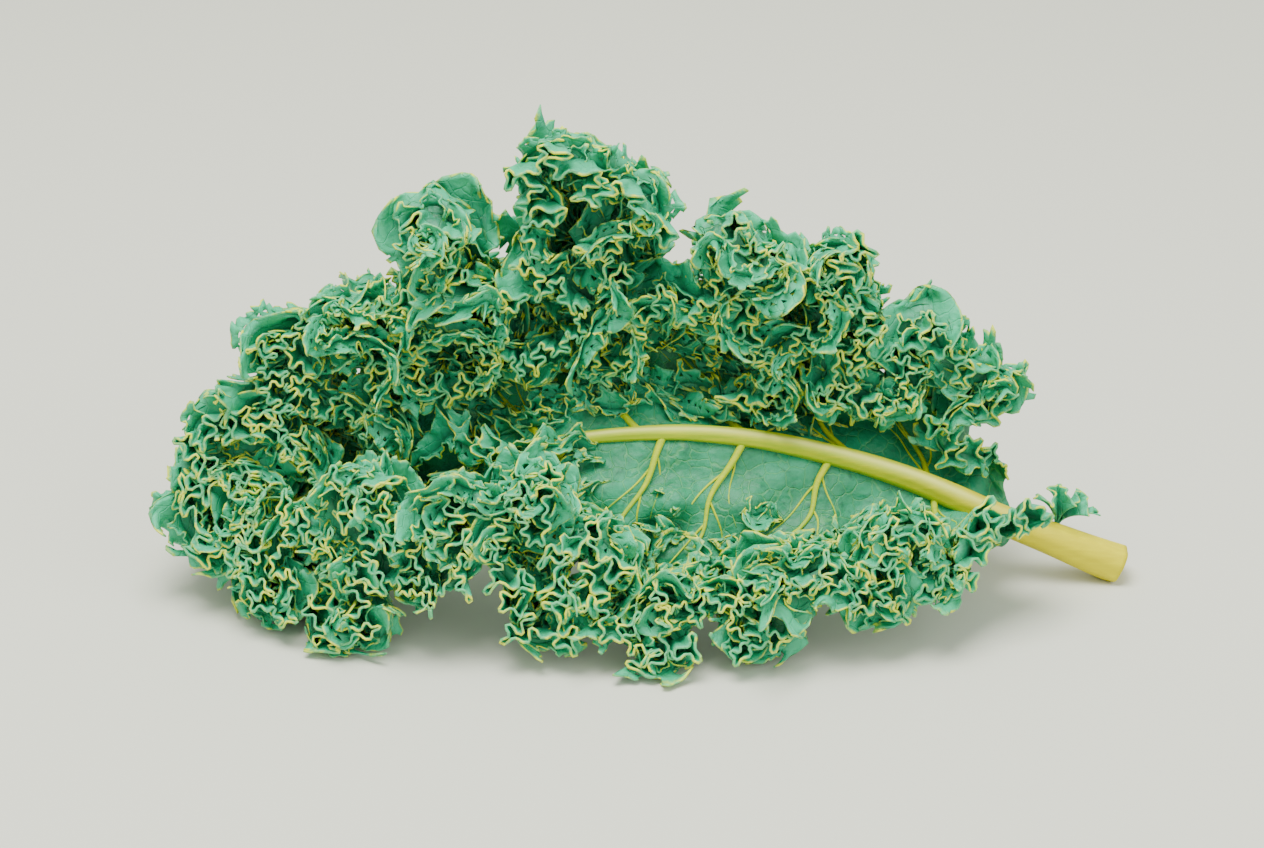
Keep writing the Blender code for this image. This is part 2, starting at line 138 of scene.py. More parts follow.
class Shop:
    def __init__(self, name, roughness, specular, subsurface=0.0, glow=(0.3, 0.6, 0.2), glowDepth=2 * mm):
        self.material = bpy.data.materials.new(name)
        self.material.use_nodes = True
        self.tree = self.material.node_tree
        self.shader = self.tree.nodes["Principled BSDF"]
        self.shader.inputs["Roughness"].default_value = roughness
        self.shader.inputs["Specular IOR Level"].default_value = specular
        self.shader.inputs["Subsurface Weight"].default_value = subsurface
        self.shader.inputs["Subsurface Radius"].default_value = glow
        self.shader.inputs["Subsurface Scale"].default_value = glowDepth

    def node(self, kind, settings=None, values=None, out=0):
        # any node: its settings first, then the values or wires of its sockets
        made = self.tree.nodes.new(kind)
        for key, value in (settings or {}).items():
            setattr(made, key, value)
        for key, value in (values or {}).items():
            if isinstance(value, Wire):
                self.tree.links.new(value.socket, made.inputs[key])
            else:
                made.inputs[key].default_value = value
        return Wire(self, made.outputs[out])

    def sum(self, operation, a, b):
        return self.node("ShaderNodeMath", {"operation": operation}, {0: a, 1: b})

    def step(self, a, low, high):
        # 0 below low, 1 above high, a smooth S between
        return self.node("ShaderNodeMapRange", {"interpolation_type": "SMOOTHSTEP"},
                         {"Value": a, "From Min": low, "From Max": high})

    def attribute(self, name):
        return self.node("ShaderNodeAttribute", {"attribute_name": name}, out="Fac")

    def place(self):
        return self.node("ShaderNodeTexCoord", out="Object")

    def noise(self, vector, scale, detail=3.0, roughness=0.55):
        return self.node("ShaderNodeTexNoise", None,
                         {"Vector": vector, "Scale": scale, "Detail": detail, "Roughness": roughness}, "Fac")

    def mix(self, mask, a, b):
        # colour a where the mask is 0 and b where it is 1; sockets 6, 7 and 2 are the Mix node's colours
        return self.node("ShaderNodeMix", {"data_type": "RGBA"}, {0: mask, 6: a, 7: b}, 2)

    def feed(self, socket, wire):
        self.tree.links.new(wire.socket, self.shader.inputs[socket])

    def bump(self, height, strength, distance):
        normal = self.node("ShaderNodeBump", None,
                           {"Height": height, "Strength": strength, "Distance": distance}, "Normal")
        self.feed("Normal", normal)


# Shape of the leaf, the same named values as in the part

leafShape = {
    "fullness": 1.7, "start": 0.12, "end": 0.95, "tipShare": 0.14,
    "back": (0.0, 0.5, -0.86),
    "roomShare": 0.35,              # how deep the sheet starts in the midrib, in shares of its half thickness
    "rib": [
        (0.00, 127, -8, 4), (0.12, 97, -8, 17), (0.25, 66, -8, 32), (0.42, 22, -8, 44),
        (0.55, -8, -8, 45), (0.68, -38, -8, 40), (0.82, -66, -2, 24), (0.95, -88, 7, 2),
    ],
    "ribRadius": [(0.00, 5.8), (0.12, 4.3), (0.25, 3.4), (0.42, 2.6), (0.60, 1.9), (0.80, 1.4), (0.95, 0.9)],
    "margin": [
        (-1.00, 92, -13, 12), (-0.97, 100, -30, 28), (-0.92, 76, -46, 26), (-0.80, 33, -57, 19),
        (-0.70, 5, -60, 13), (-0.60, -23, -56, 18), (-0.40, -57, -50, 33), (-0.20, -90, -44, 23),
        (0.00, -117, -24, 29), (0.20, -105, -14, 52), (0.30, -90, -12, 63), (0.40, -73, -10, 75),
        (0.60, -43, -8, 93), (0.70, -14, -6, 102), (0.80, 20, -8, 85), (0.92, 62, -8, 70),
        (0.97, 87, -6, 48), (1.00, 95, -4, 28),
    ],
    "leaving": [
        (-1.00, 0.0, -0.8, -0.6), (-0.80, -0.4, -0.7, -0.6), (-0.40, -0.5, -0.7, -0.7),
        (-0.15, -0.8, -0.5, -0.2), (0.00, -1.0, 0.3, 0.1), (0.15, -0.8, 0.6, 0.3),
        (0.40, -0.5, 0.85, 0.15), (0.80, -0.5, 0.85, 0.15), (1.00, 0.0, 0.8, 0.4),
    ],
    "ending": [
        (-1.00, 0.4, -0.9, 0.1), (-0.80, 0.0, -0.9, 0.3), (-0.40, 0.0, -0.9, 0.4),
        (-0.15, 0.0, -0.9, 0.3), (0.00, 0.0, -0.9, 0.2), (0.20, 0.0, -0.9, 0.1),
        (0.50, 0.0, -0.9, 0.0), (0.85, 0.0, -0.9, 0.0), (1.00, 0.2, -0.9, 0.1),
    ],
    # large folds: s, how far each crest or hollow stands out from the cup in mm
    "folds": [
        (-1.000, 1), (-0.980, 4), (-0.955, -6), (-0.930, 4), (-0.895, -9), (-0.855, 4), (-0.815, -9),
        (-0.765, 6), (-0.715, -10), (-0.660, 8), (-0.600, -16), (-0.530, 10), (-0.460, -24), (-0.380, 15),
        (-0.310, -22), (-0.240, 19), (-0.170, -14), (-0.110, 14), (-0.050, -11), (0.010, 13), (0.070, -11),
        (0.130, 14), (0.190, -16), (0.250, 16), (0.320, -24), (0.380, 17), (0.450, -28), (0.530, 18),
        (0.600, -31), (0.675, 22), (0.745, -32), (0.800, 18), (0.840, -28), (0.880, 17), (0.915, -22),
        (0.945, 12), (0.980, -8), (1.000, 1),
    ],
    "foldOverhang": 0.18, "foldOnset": 0.10, "foldLevel": 0.84, "powerOut": 1.3, "powerIn": 3.0,
}

# Ruffles on the folds: width mm, greatest turn, onset, growth, seed. The last two make the fine frill.
frill = {
    "levels": [(28, 1.15, 0.30, 1.3, 11), (10, 1.5, 0.60, 1.4, 12), (4.4, 1.25, 0.82, 1.2, 13)],
    "relief": 0.8,                  # how much a steep ruffle shortens the sheet's way up
    "endFade": 0.012,               # share of the margin over which ruffles fade at each end
    "fine": 16384, "columns": 6144,
    "widthSwing": 0.25, "turnSwing": 0.2, "turnSeed": 50,   # how ruffles differ in width and in turn
    "mostTurn": 1.9,
    "crestHeight": 8 * mm,          # a fold this far out grows as a crest, this far in as a hollow
    "mostGain": 1.15, "leastClimb": 0.15, "mostReach": 1.12,
    # t of each row, and how many margin columns lie between two of its own
    "rows": [
        (0.00, 32), (0.03, 32), (0.06, 32), (0.10, 32), (0.14, 32), (0.18, 32), (0.22, 32), (0.26, 32),
        (0.30, 16), (0.34, 16), (0.38, 16), (0.42, 16), (0.46, 16), (0.50, 16), (0.55, 16),
        (0.60, 8), (0.66, 8), (0.71, 8), (0.76, 4), (0.80, 4), (0.84, 4), (0.87, 2), (0.90, 2), (0.925, 2),
        (0.95, 1), (0.97, 1), (0.985, 1), (1.00, 1),
    ],
    "halfThickness": 0.22 * mm,
    "rimFrom": 0.9, "rimWidth": 0.1, "rimGain": 0.5,        # the edge is thicker by this share
    "depth": 65.0,                  # mm from the midrib to the edge, for the width of the pale rim
}

# The same sheet with its folds and first ruffles only, on even rows, which curls and veins stand on
baseSheet = {"levels": frill["levels"][:1], "start": 0.02, "rows": 50, "columns": 4096, "fine": 8192}


def keyed(keys, x):
    # smooth cubic through every key (x, values): Hermite with slopes from the neighbours
    keys = np.array(keys, float)
    places, values = keys[:, 0], keys[:, 1:]
    slopes = np.gradient(values, places, axis=0)
    x = np.clip(x, places[0], places[-1])
    i = np.clip(np.searchsorted(places, x, side="right") - 1, 0, len(places) - 2)
    width = (places[i + 1] - places[i])[..., None]
    f = (x - places[i])[..., None] / width
    found = ((2 * f**3 - 3 * f**2 + 1) * values[i] + (3 * f**2 - 2 * f**3) * values[i + 1]
             + (f**3 - 2 * f**2 + f) * slopes[i] * width + (f**3 - f**2) * slopes[i + 1] * width)
    return found[..., 0] if values.shape[1] == 1 else found


def unit(v, least=1e-12):
    # v over its length
    return v / np.maximum(np.linalg.norm(v, axis=-1, keepdims=True), least)


def smoothNoise(x, count, seed):
    # cubic through random values from -1 to 1, with count spans over x from 0 to 1
    knots = np.random.default_rng(seed).uniform(-1, 1, count + 4)
    place = np.clip(x, 0, 1) * count
    i = np.minimum(place.astype(int), count - 1)
    f = place - i
    a, b, c, d = knots[i], knots[i + 1], knots[i + 2], knots[i + 3]
    return b + 0.5 * f * (c - a + f * (2 * a - 5 * b + 4 * c - d + f * (3 * (b - c) + d - a)))


def runningMean(values, count):
    # mean over count neighbours along the last axis, with the ends held
    count = max(3, int(count) | 1)
    pad = count // 2
    ends = np.repeat(values[..., :1], pad, -1), np.repeat(values[..., -1:], pad, -1)
    padded = np.concatenate([ends[0], values, ends[1]], -1)
    total = np.concatenate([np.zeros(values.shape[:-1] + (1,), values.dtype), np.cumsum(padded, -1)], -1)
    return (total[..., count:] - total[..., :-count]) / count


def ribShare(s):
    # place on the midrib: start + (end - start) * (1 - |s|) / (1 - tipShare), held at end around the tip
    along = np.clip((1 - np.abs(s)) / (1 - leafShape["tipShare"]), 0, 1)
    return leafShape["start"] + (leafShape["end"] - leafShape["start"]) * along


def cup(s, t, step=0.01):
    # P(s,t) = cubic from the midrib's back to the margin, starting along leaving and ending along ending
    share = ribShare(s)
    heading = unit(keyed(leafShape["rib"], share + step) - keyed(leafShape["rib"], share - step))
    back = np.array(leafShape["back"])
    behind = back - (heading @ back)[..., None] * heading
    room = (keyed(leafShape["ribRadius"], share) * mm * leafShape["roomShare"])[..., None]
    root = keyed(leafShape["rib"], share) * mm + room * unit(behind)
    edge = keyed(leafShape["margin"], s) * mm
    size = leafShape["fullness"] * np.linalg.norm(edge - root, axis=-1, keepdims=True)
    t = t[..., None]
    return ((2 * t**3 - 3 * t**2 + 1) * root + (3 * t**2 - 2 * t**3) * edge
            + (t**3 - 2 * t**2 + t) * size * unit(keyed(leafShape["leaving"], s))
            + (t**3 - t**2) * size * unit(keyed(leafShape["ending"], s)))


def cupSlope(s, t, step=0.001, leastT=0.05):
    # underside normal = dP/ds x dP/dt, and the pace |dP/dt|
    t = np.maximum(t, leastT)
    along = cup(np.clip(s + step, -1, 1), t) - cup(np.clip(s - step, -1, 1), t)
    across = cup(s, t + step) - cup(s, t - step)
    return unit(np.cross(along, across)), np.linalg.norm(across, axis=-1) / (2 * step)


def marginLengths(samples=4001):
    # length along the margin from s = -1 to each sample of s
    s = np.linspace(-1, 1, samples)
    line = cup(s, np.ones_like(s))
    return s, np.concatenate([[0], np.cumsum(np.linalg.norm(np.diff(line, axis=0), axis=1))])


def foldCurve(sList, lengths, fine):
    # large folds end on: straight place, lean = width * overhang * sin(2 pi f), rise = half cosine between keys
    folds = np.array(leafShape["folds"], float)
    height = folds[:, 1] * mm
    place = np.interp(folds[:, 0], sList, lengths)
    q = np.linspace(0, len(folds) - 1, fine + 1)
    i = np.minimum(q.astype(int), len(folds) - 2)
    f = q - i
    width = place[i + 1] - place[i]
    straight = place[i] + width * f
    lean = width * leafShape["foldOverhang"] * np.sin(2 * np.pi * f)
    rise = height[i] + (height[i + 1] - height[i]) * (1 - np.cos(np.pi * f)) / 2
    run = np.concatenate([[0], np.cumsum(np.hypot(np.diff(straight + lean), np.diff(rise)))])
    even = np.linspace(0, run[-1], fine + 1)
    return [np.interp(even, run, values) for values in (straight, lean, rise)] + [run[-1]]


def growth(t, onset, power, most=1.2):
    # ((t - onset) / (1 - onset)) ** power, 0 below the onset
    return np.clip((t - onset) / (1 - onset), 0, most) ** power


def foldGrowth(t, power, most=1.5, easeFrom=0.88, easeWidth=0.24):
    # x**power, easing into 1 at foldLevel
    x = np.clip((t - leafShape["foldOnset"]) / (leafShape["foldLevel"] - leafShape["foldOnset"]), 0, most)
    ease = np.clip((x - easeFrom) / easeWidth, 0, 1)
    ease = ease**2 * (3 - 2 * ease)
    return x**power * (1 - ease) + ease


def bessel(angle):
    # mean of cos(angle * sin) over a turn: how far a meander gets for its length
    q = angle * angle / 4
    return 1 - q + q**2 / 4 - q**3 / 36 + q**4 / 576


def meander(base, run, t, levels, fine):
    # each level turns every step of the curve: step * exp(i * turn * sin(phase)) / J0(turn)
    # and the ruffle is what this adds to the base curve, less its mean over one of the widest ruffles
    u = np.linspace(0, 1, fine + 1)
    turned, stretch, shrink, mean = 0, 1.0, 1.0, None
    for width, angle, onset, power, seed in levels:
        count = max(3, round(run * stretch / (width * mm)))
        mean = mean or fine / count
        knots = max(3, count // 2)
        phase = 2 * np.pi * (count * u + frill["widthSwing"] * smoothNoise(u, knots, seed))
        turn = growth(t, onset, power)[:, None] * angle
        turn = turn * (1 + frill["turnSwing"] * smoothNoise(u, knots, seed + frill["turnSeed"]))[None]
        turned = turned + turn * np.sin(phase)[None]
        shrink = shrink / bessel(np.minimum(turn, frill["mostTurn"]))
        stretch /= bessel(angle)
    factor = shrink * np.exp(1j * turned)
    factor = (factor[:, 1:] + factor[:, :-1]) / 2
    steps = np.cumsum(np.diff(base, axis=1) * factor, axis=1)
    waved = base[:, :1] + np.concatenate([np.zeros_like(steps[:, :1]), steps], 1)
    ruffle = waved - base
    ruffle = ruffle - runningMean(runningMean(ruffle, mean), mean)
    fade = np.clip(np.minimum(u, 1 - u) / frill["endFade"], 0, 1)
    return ruffle * (fade**2 * (3 - 2 * fade))[None]


def sheetPoints(t, columns, levels, fine, samples=401, smoothed=15):
    # P = cup(s, reach) - small ruffle * normal + large fold * one fixed outward direction of that s
    sList, lengths = marginLengths()
    straight, lean, rise, run = foldCurve(sList, lengths, fine)
    crest = np.clip((rise / frill["crestHeight"] + 1) / 2, 0, 1)
    crest = (crest**2 * (3 - 2 * crest))[None]
    grown = (foldGrowth(t, leafShape["powerOut"])[:, None] * crest
             + foldGrowth(t, leafShape["powerIn"])[:, None] * (1 - crest))
    folded = straight[None] + grown * lean[None] + 1j * grown * rise[None]
    ruffle = meander(folded, run, t, levels, fine)
    pick = np.round(np.linspace(0, fine, columns + 1)).astype(int)
    folded, ruffle = folded[:, pick], ruffle[:, pick]
    s = np.interp(np.clip((folded + ruffle).real, 0, lengths[-1]), lengths, sList)
    rows = np.broadcast_to(t[:, None], s.shape)
    # ruffles get lower inwards as the row gets shorter than the margin
    sample = np.linspace(-1, 1, samples)
    slopes = [np.gradient(cup(sample, np.full_like(sample, x)), axis=0) for x in (*t, 1.0)]
    paces = [runningMean(np.linalg.norm(slope, axis=1), smoothed) for slope in slopes]
    gain = np.array([np.interp(s[r], sample, paces[r] / paces[-1]) for r in range(len(t))])
    height = ruffle.imag * np.clip(gain, 0, frill["mostGain"])
    # and the way up the sheet gets shorter where they climb
    pace = cupSlope(s, rows)[1]
    climb = np.diff(ruffle.imag, axis=0) / (pace[1:] * np.diff(t)[:, None])
    steps = np.diff(t)[:, None] * np.sqrt(np.maximum(1 - frill["relief"] * climb**2, frill["leastClimb"]))
    reach = np.concatenate([rows[:1], rows[:1] + np.cumsum(steps, axis=0)])
    reach = np.minimum(reach * (t / np.maximum(reach.mean(axis=1), 1e-9))[:, None], frill["mostReach"])
    normal = cupSlope(s, reach)[0]
    outward = -cupSlope(s, np.ones_like(s))[0]
    return cup(s, reach) - height[..., None] * normal + folded.imag[..., None] * outward, s


def gridTriangles(strides, columns):
    # triangles between rows whose columns may double outwards; a row's point k lies at column k * stride
    first = np.concatenate([[0], np.cumsum([columns // stride + 1 for stride in strides])])
    found = []
    for r in range(len(strides) - 1):
        cells = np.arange(columns // strides[r])
        a = first[r] + cells
        p = first[r + 1] + cells * (strides[r] // strides[r + 1])
        if strides[r] == strides[r + 1]:
            flip = (cells % 2).astype(bool)[:, None]
            one = np.where(flip, np.stack([a, a + 1, p + 1], 1), np.stack([a, a + 1, p], 1))
            two = np.where(flip, np.stack([a, p + 1, p], 1), np.stack([a + 1, p + 1, p], 1))
            found += [one, two]
        else:
            found += [np.stack([a, a + 1, p + 1], 1), np.stack([a, p + 1, p], 1),
                      np.stack([a + 1, p + 2, p + 1], 1)]
    return np.concatenate(found)


def vertexNormals(points, triangles):
    # sum of the face normals around each point, each as long as twice its face's area, then made unit
    corners = points[triangles]
    faces = np.cross(corners[:, 1] - corners[:, 0], corners[:, 2] - corners[:, 0])
    total = np.zeros_like(points)
    for k in range(3):
        for axis in range(3):
            total[:, axis] += np.bincount(triangles[:, k], faces[:, axis], len(points))
    return unit(total)


def closedSheet(points, triangles, half):
    # both faces at +-half along the normal, and a wall along every open edge
    normals = vertexNormals(points, triangles)
    count = len(points)
    a = triangles[:, [0, 1, 2]].ravel()
    b = triangles[:, [1, 2, 0]].ravel()
    forward, backward = a * count + b, b * count + a
    rim = ~np.isin(forward, backward)
    a, b = a[rim], b[rim]
    walls = np.concatenate([np.stack([b, a, a + count], 1), np.stack([b, a + count, b + count], 1)])
    half = np.broadcast_to(half, (count,))[:, None]
    both = np.concatenate([points + normals * half, points - normals * half])
    return both, np.concatenate([triangles, triangles[:, ::-1] + count, walls])


def onTable(points, soft=4 * mm, least=0.1 * mm):
    # z below soft goes to soft * exp(z / soft - 1), so nothing sinks into the table
    z = points[..., 2]
    points[..., 2] = np.where(z < soft, least + (soft - least) * np.exp((z - soft) / soft), z)
    return points


def makePiece(name, points, triangles, values, node, material):
    # a mesh of triangles at points + leafPlace, with one number per point for each named value
    mesh = bpy.data.meshes.new(name)
    mesh.vertices.add(len(points))
    mesh.vertices.foreach_set("co", (points + leafPlace).astype(np.float32).ravel())
    mesh.loops.add(triangles.size)
    mesh.loops.foreach_set("vertex_index", triangles.astype(np.int32).ravel())
    mesh.polygons.add(len(triangles))
    mesh.polygons.foreach_set("loop_start", np.arange(0, triangles.size, 3, dtype=np.int32))
    mesh.polygons.foreach_set("use_smooth", np.ones(len(triangles), bool))
    mesh.update(calc_edges=True)
    for key, value in values.items():
        mesh.attributes.new(key, "FLOAT", "POINT").data.foreach_set("value", value.astype(np.float32))
    mesh.materials.append(material)
    piece = bpy.data.objects.new(name, mesh)
    bpy.context.scene.collection.objects.link(piece)
    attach(piece, "root")
    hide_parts(node)
    print(name, len(triangles), "triangles")


# Blade

bladeLook = {
    "base": (0.008, 0.210, 0.090, 1.0),
    "light": (0.015, 0.310, 0.150, 1.0),
    # deep green of the specks, and of the painted shade inside frills and curls
    "deep": (0.004, 0.085, 0.045, 1.0),
    "frill": (0.045, 0.590, 0.300, 1.0),
    # painted highlight: the pale yellow along the frill edges
    "rim": (0.76, 0.80, 0.02, 1.0),
    "vein": (0.14, 0.46, 0.14, 1.0),
    "roughness": 0.38, "specular": 0.45, "subsurface": 0.12, "glow": (0.35, 0.8, 0.3),
    # patterns per metre: patches, specks, grain, vein net and what bends it, broken rim painted as a highlight,
    # bumps
    "patchScale": 60.0, "speckScale": 420.0, "grainScale": 1800.0,
    "netScale": 210.0, "netBendScale": 220.0, "netBend": 2.5 * mm,
    "highlightPatchScale": 260.0, "bumpScale": 170.0,
    "speckShare": 0.55, "netShare": 0.30, "frillShare": 0.55, "shadeShare": 0.55,
    "highlightLeast": 0.10, "highlightShare": 0.80,
    "rimWidth": 0.36,               # mm, width of the painted highlight along the edge
    "shadeFrom": 1.0, "shadeTo": 9.0,       # mm from the edge over which painted shade darkens a frill
    "curlFrom": 0.75,               # across is above this in the frill and on the curls
    "blisterBump": 1.6 * mm, "bumpStrength": 0.8,
    "blisters": 1.6 * mm,           # how far the blisters between the veins rise
    "blisterWidth": 10 * mm, "blisterSpread": (0.7, 1.5),
    "blisterWaves": 7, "blisterTurn": 6.28, "blisterSeed": 77, "blisterLevel": 2.0,
    "blisterRib": 0.10, "blisterFrill": 0.25, "blisterVein": 0.018,     # how far they fade beside each
}


def bladeMaterial(look):
    # across is 0 at the midrib and 1 at the edge, and edge is the distance from the edge in mm
    shop = Shop("kaleBlade", look["roughness"], look["specular"], look["subsurface"], look["glow"])
    place = shop.place()
    across = shop.attribute("across")
    edge = shop.attribute("edge")
    patch = shop.noise(place, look["patchScale"])
    speck = shop.noise(place, look["speckScale"])
    grain = shop.noise(place, look["grainScale"], 2.0)
    colour = shop.mix(shop.step(patch, 0.36, 0.66), look["base"], look["light"])
    colour = shop.mix(shop.step(speck, 0.52, 0.74) * look["speckShare"], colour, look["deep"])
    # the net of small veins lies on the borders of cells whose places a noise has bent
    bend = shop.node("ShaderNodeTexNoise", None, {"Vector": place, "Scale": look["netBendScale"]}, "Color")
    bend = shop.node("ShaderNodeVectorMath", {"operation": "SCALE"}, {0: bend, "Scale": look["netBend"]})
    bent = shop.node("ShaderNodeVectorMath", {"operation": "ADD"}, {0: place, 1: bend})
    border = shop.node("ShaderNodeTexVoronoi", {"feature": "DISTANCE_TO_EDGE"},
                       {"Vector": bent, "Scale": look["netScale"]})
    net = 1 - shop.step(border, 0.010, 0.060)
    colour = shop.mix(net * (1 - shop.step(across, 0.80, 0.95)) * look["netShare"], colour, look["vein"])
    colour = shop.mix(shop.step(across, 0.72, 1.0) * look["frillShare"], colour, look["frill"])
    # painted shade: frills and curls darken inwards, away from their edge, and their rim is pale in patches, a
    # painted highlight
    curl = shop.step(across, look["curlFrom"] - 0.01, look["curlFrom"] + 0.01)
    paintedShade = shop.step(edge, look["shadeFrom"], look["shadeTo"]) * curl
    colour = shop.mix(paintedShade * look["shadeShare"], colour, look["deep"])
    # painted highlight: a pale yellow rim along every edge, broken into patches
    rim = 1 - shop.step(edge + (speck - 0.5) * 0.5, 0.02, look["rimWidth"])
    highlightPatch = shop.step(shop.noise(place, look["highlightPatchScale"], 2.0), 0.42, 0.62)
    colour = shop.mix(rim * (look["highlightLeast"] + highlightPatch * look["highlightShare"]), colour, look["rim"])
    shop.feed("Base Color", colour)
    shop.feed("Roughness", look["roughness"] + patch * 0.2 + grain * 0.1)
    bumps = shop.noise(place, look["bumpScale"], 2.0) + (speck * 0.5 + grain * 0.2 - net * 0.3) * 0.35
    shop.bump(bumps, look["bumpStrength"], look["blisterBump"])
    return shop.material


def blisters(points, across, s):
    # height = blisters * e * sum of seven plane waves through the room, e is 0 at the ribs and in the frill
    look = bladeLook
    chance = np.random.default_rng(look["blisterSeed"])
    count = look["blisterWaves"]
    ways = unit(chance.normal(size=(count, 3))) * (2 * np.pi / look["blisterWidth"])
    ways = ways * chance.uniform(*look["blisterSpread"], (count, 1))
    waves = np.sin(points @ ways.T + chance.uniform(0, look["blisterTurn"], count))
    here = np.clip(across / look["blisterRib"], 0, 1)
    here = here * np.clip((look["curlFrom"] - across) / look["blisterFrill"], 0, 1)
    away = np.min(np.abs(s[:, None] - np.array([vein[0] for vein in veinLook["main"]])), 1)
    here = here * (1 - np.exp(-((away / look["blisterVein"]) ** 2)))
    return look["blisters"] * here * waves.sum(-1) / look["blisterLevel"]


def makeBlade():
    # the sheet's middle on all rows, raised by the blisters and given its thickness
    t = np.array([row[0] for row in frill["rows"]])
    strides = [row[1] for row in frill["rows"]]
    columns = frill["columns"]
    points, s = sheetPoints(t, columns, frill["levels"], frill["fine"])
    points = onTable(points)
    middle = np.concatenate([points[r, ::stride] for r, stride in enumerate(strides)])
    across = np.concatenate([np.full(columns // stride + 1, t[r]) for r, stride in enumerate(strides)])
    triangles = gridTriangles(strides, columns)
    placeOf = np.concatenate([s[r, ::stride] for r, stride in enumerate(strides)])
    middle += vertexNormals(middle, triangles) * blisters(middle, across, placeOf)[:, None]
    middle = onTable(middle)
    rim = np.clip((across - frill["rimFrom"]) / frill["rimWidth"], 0, 1)
    both, faces = closedSheet(middle, triangles, frill["halfThickness"] * (1 + frill["rimGain"] * rim))
    values = {"across": np.tile(across, 2), "edge": np.tile((1 - across) * frill["depth"], 2)}
    makePiece("bladeSheet", both, faces, values, "blade", kaleBlade)


# Curls: frilled lobes that branch off the sheet's faces, each a strip that stands on one row of the sheet

curlLook = {
    # t of the row, s from and to, side (1 underside, -1 upper side), height mm, seed, lean of its own
    "strips": [
        (0.10, 0.30, 0.80, 1, 10, 120), (0.18, 0.22, 0.84, 1, 12, 121), (0.28, 0.20, 0.84, 1, 13, 101),
        (0.38, 0.22, 0.86, 1, 14, 102), (0.48, 0.10, 0.90, 1, 14, 103), (0.58, -0.12, 0.93, 1, 13, 104),
        (0.68, -0.95, 0.98, 1, 12, 105), (0.78, -0.95, 0.99, 1, 11, 106), (0.90, -0.955, 0.99, 1, 10, 107),
        (0.36, -0.36, 0.02, 1, 15, 108), (0.48, -0.56, -0.08, 1, 15, 109), (0.58, -0.66, -0.15, 1, 14, 122),
        (0.60, -0.95, -0.64, 1, 9, 123), (0.86, -0.95, -0.60, 1, 9, 124),
        (0.14, -0.50, -0.10, 1, 13, 125), (0.25, -0.56, 0.10, 1, 14, 126),
        (0.95, -0.93, -0.54, -1, 12, 127, 0.1), (0.62, 0.10, 0.90, -1, 10, 128),
        (0.97, 0.30, 0.56, 1, 12, 141, 2.2), (0.97, 0.70, 0.88, 1, 11, 143, 2.2),
        (0.09, -0.54, -0.28, 1, 17, 142, 0.1), (0.18, -0.56, -0.40, 1, 17, 144, 0.0),
        (0.04, -0.52, -0.22, 1, 19, 145, -0.2),
        (0.76, -0.55, 0.98, -1, 11, 110), (0.90, -0.55, 0.99, -1, 10, 111),
        (0.30, -0.90, -0.82, 1, 8, 130), (0.20, -0.885, -0.83, 1, 6, 131), (0.44, -0.92, -0.78, 1, 10, 132),
        (0.36, -0.78, -0.70, 1, 9, 133), (0.25, -0.77, -0.71, 1, 7, 134), (0.48, -0.80, -0.64, 1, 10, 135),
        (0.32, -0.68, -0.61, 1, 9, 136), (0.42, -0.67, -0.54, 1, 10, 137), (0.20, -0.665, -0.61, 1, 6, 138),
    ],
    "levels": [(19, 1.3, 0.05, 1.1, 0), (9, 1.4, 0.35, 1.2, 1), (4.2, 1.25, 0.66, 1.2, 2)],
    "rows": [(0.0, 8), (0.16, 8), (0.30, 8), (0.42, 4), (0.53, 4), (0.63, 4), (0.72, 2), (0.80, 2), (0.87, 1),
             (0.94, 1), (1.0, 1)],
    "columnsPerTooth": 5.3,
    "scallop": 0.5, "scallopWidth": 20,     # lobes of the strip's height, mm
    "cuts": 0.36, "cutsWidth": 4.5,         # florets along its edge, mm
    "teeth": 0.26, "teethWidth": 1.8,       # teeth of the florets, mm
    "lean": 0.40, "swing": 0.9, "swingWidth": 16,   # how the strip tips outwards along the sheet
    "halfThickness": 0.2 * mm,
    "stands": (0.34, 0.66),                 # where on the strip its own small curls stand
}

smallCurlLook = {
    "height": 5.5,                          # mm
    "levels": [(8.0, 1.3, 0.05, 1.1, 0), (3.4, 1.25, 0.45, 1.2, 1)],
    "rows": [(0.0, 5), (0.25, 5), (0.45, 5), (0.64, 1), (0.82, 1), (1.0, 1)],
    "columnsPerTooth": 5,
    "scallop": 0.4, "scallopWidth": 9, "cuts": 0.34, "cutsWidth": 3.6, "teeth": 0.22, "teethWidth": 1.6,
    "lean": 0.45, "swing": 0.6, "swingWidth": 8,
    "halfThickness": 0.18 * mm,
    "ends": 0.97, "around": 0.08,           # how much of the strip they cover, and its rows beside them
}

# What large and small curls share
curlRules = {
    "samples": 12288, "finePerColumn": 3, "leastKnots": 4,
    "window": 5 * mm, "lineShare": 0.5,     # evens out the strip's way, and a share of it the strip's line
    "fade": 12 * mm, "fadeShare": 0.3, "fadeLeast": 0.15,   # how far from its ends the strip gets lower
    "sunk": 0.05,                           # share of its height that is below the sheet
    "seeds": {"swing": 300, "scallop": 400, "cuts": 500, "teeth": 600},
    "mostTriangles": 190000,                # in one piece
}


def baseGrid(look):
    # the points and s of every row of the base sheet
    t = np.linspace(look["start"], 1.0, look["rows"])
    points, s = sheetPoints(t, look["columns"], look["levels"], look["fine"])
    return t, points, s


